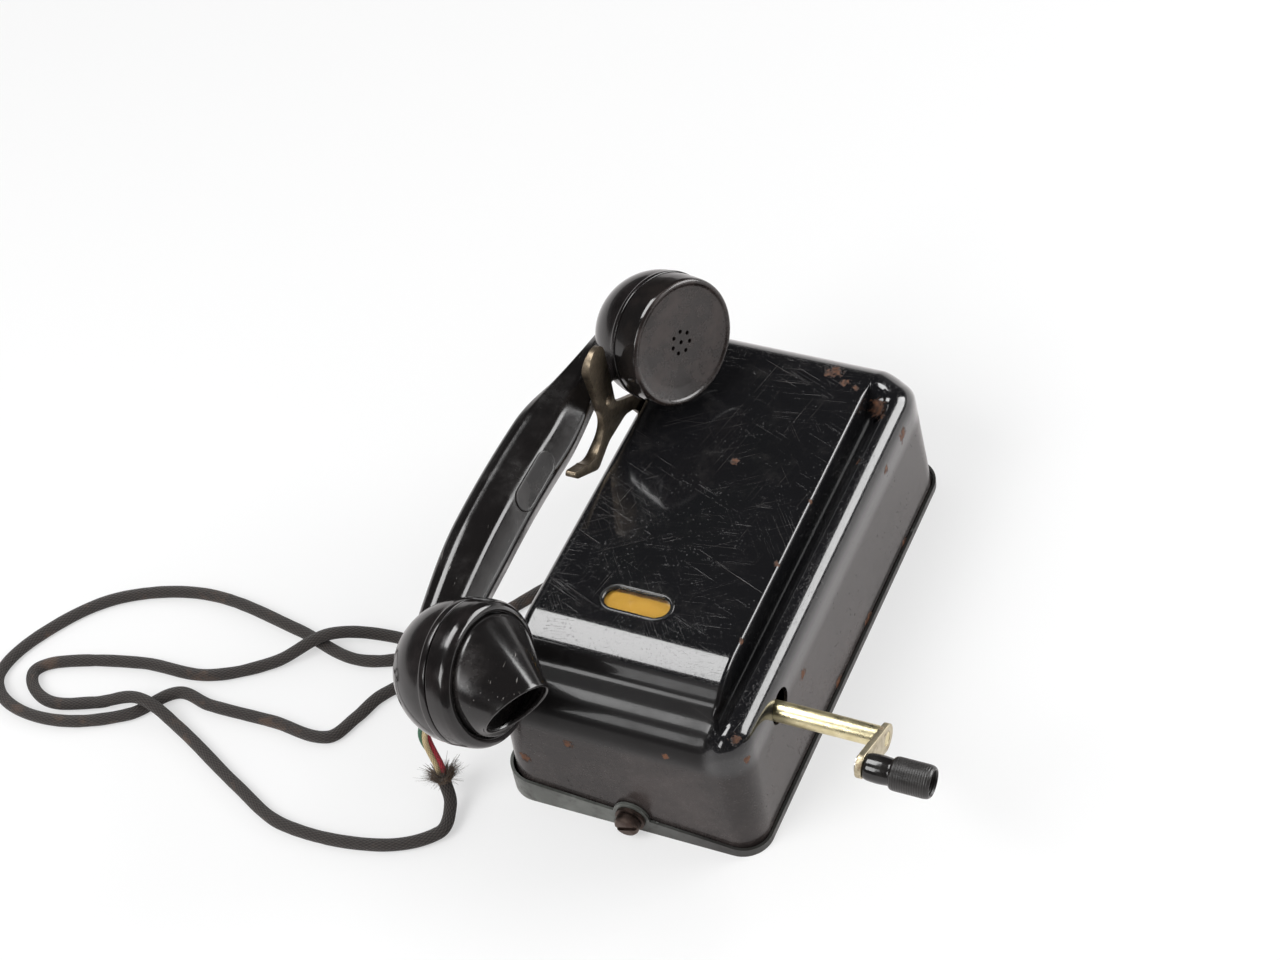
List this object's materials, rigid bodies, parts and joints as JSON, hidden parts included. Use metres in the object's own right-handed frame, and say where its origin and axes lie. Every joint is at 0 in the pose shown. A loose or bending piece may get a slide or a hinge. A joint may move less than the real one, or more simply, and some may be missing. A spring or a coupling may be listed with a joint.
{
  "type": "magneto wall telephone",
  "caption": "Pressed-steel magneto telephone lying on its back plate, with a hand crank, a side hook and a horn-mouthed handset resting along its left edge.",
  "frame": {"origin": "middle of the back plate's rear face", "axes": "+X to the telephone's right (crank side), +Y towards its top, +Z out of its front"},
  "size_m": [0.4856, 0.3011, 0.1524],
  "materials": {
    "back_plate": "worn grey-green paint",
    "cover": "gloss black enamel, worn",
    "label_rim": "gloss",
    "label_card": "aged card",
    "label_window": "clear",
    "dark_screw": "browned steel",
    "plain_steel": "plain",
    "passivated_steel": "yellow passivated",
    "bronze": "dulled",
    "brass": "plain",
    "black_plastic": "polished, aged",
    "brown_plastic": "moulded",
    "magnet_steel": "red lacquer",
    "soft_iron": "plain",
    "winding": "enamelled and silk-covered wire",
    "rubber": "matt",
    "braid": "braided textile",
    "green_wire": "cotton covered",
    "cream_wire": "cotton covered",
    "red_wire": "cotton covered"
  },
  "bodies": {
    "base": {"back_plate": "back_plate", "cover": "cover", "label_rim": "label_rim", "label_card": "label_card", "label_window": "label_window", "cover_screw": "dark_screw", "screw_collar": "dark_screw", "cover_nut": "plain_steel", "inlet_gland": "rubber", "line_cord": "braid", "braid_end": "braid", "hook_bracket": "plain_steel", "hook_spring": "plain_steel", "contact_block": "brown_plastic", "contact_springs": "brass", "magnets": "magnet_steel", "pole_shoes": "soft_iron", "generator_frame": "brass", "generator_base": "plain_steel", "gong_left": "plain_steel", "gong_right": "plain_steel", "gong_posts": "plain_steel", "gong_screws": "plain_steel", "ringer_yoke": "soft_iron", "ringer_coils": "winding", "ringer_magnet": "magnet_steel", "induction_core": "soft_iron", "induction_winding": "winding", "induction_cheeks": "brown_plastic", "capacitor": "plain_steel", "terminal_block": "brown_plastic", "terminal_screws": "brass", "inner_wires": "red_wire"},
    "hook": {"hook_lever": "bronze", "hook_shaft": "plain_steel", "hook_cam": "brass"},
    "crank": {"crank_shaft": "passivated_steel", "crank_arm": "passivated_steel", "knob_pin": "plain_steel", "crank_gear": "brass"},
    "knob": {"crank_knob": "black_plastic"},
    "armature": {"pinion": "brass", "armature_core": "soft_iron", "armature_winding": "winding", "armature_shaft": "plain_steel"},
    "striker": {"ringer_armature": "soft_iron", "clapper": "plain_steel"},
    "handset": {"handset_body": "black_plastic", "handset_plaque": "black_plastic", "receiver_cap": "black_plastic", "receiver_capsule": "plain_steel", "transmitter_ring": "black_plastic", "mouthpiece": "black_plastic", "transmitter_capsule": "plain_steel", "wire_green": "green_wire", "wire_cream": "cream_wire", "wire_red": "red_wire"}
  },
  "joints": [
    {"name": "handset_lift", "type": "slide", "parent": "base", "child": "handset", "axis": [0, 0, 1], "range_m": [0, 0.1], "deforming": ["wire_green", "wire_cream", "wire_red"]},
    {"name": "hook_rock", "type": "hinge", "parent": "base", "child": "hook", "pos_m": [-0.06, 0.074, 0.062], "axis": [1, 0, 0], "range_deg": [0, 14]},
    {"name": "crank_turn", "type": "hinge", "parent": "base", "child": "crank", "pos_m": [0.09, -0.0813, 0.059], "axis": [1, 0, 0], "continuous": true},
    {"name": "knob_spin", "type": "hinge", "parent": "crank", "child": "knob", "pos_m": [0.13, -0.10652, 0.07204], "axis": [1, 0, 0], "continuous": true},
    {"name": "armature_spin", "type": "hinge", "parent": "base", "child": "armature", "pos_m": [0, -0.06811, 0.04618], "axis": [1, 0, 0], "continuous": true},
    {"name": "striker_swing", "type": "hinge", "parent": "base", "child": "striker", "pos_m": [0, 0.064, 0.042], "axis": [0, 0, 1], "range_deg": [-2, 2]}
  ],
  "couplings": [
    {"joint": "armature_spin", "follows": "crank_turn", "ratio": -2.6}
  ]
}
